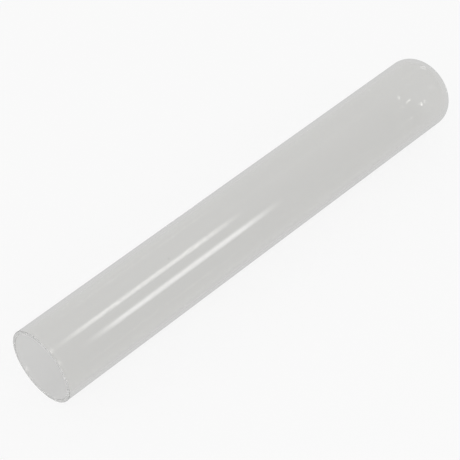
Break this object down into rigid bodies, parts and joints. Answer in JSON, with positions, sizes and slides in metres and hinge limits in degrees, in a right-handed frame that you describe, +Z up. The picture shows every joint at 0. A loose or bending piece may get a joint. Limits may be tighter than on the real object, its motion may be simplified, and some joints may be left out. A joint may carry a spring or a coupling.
{
  "type": "rain gauge measuring tube",
  "caption": "Clear glass measuring tube of a manual rain gauge: straight bore, open mouth with a fire-polished rim, shallow domed closed end, no scale and no holder.",
  "frame": {"origin": "under the middle of the tube, on the surface that it lies on", "axes": "+X along the tube from its mouth to its closed end, +Z up as it lies on its side"},
  "size_m": [0.211, 0.03, 0.03],
  "materials": {
    "clear_glass": "clear, drawn and fire-polished, faintly smudged"
  },
  "bodies": {
    "root": {"measuring_tube": "clear_glass"}
  },
  "joints": []
}
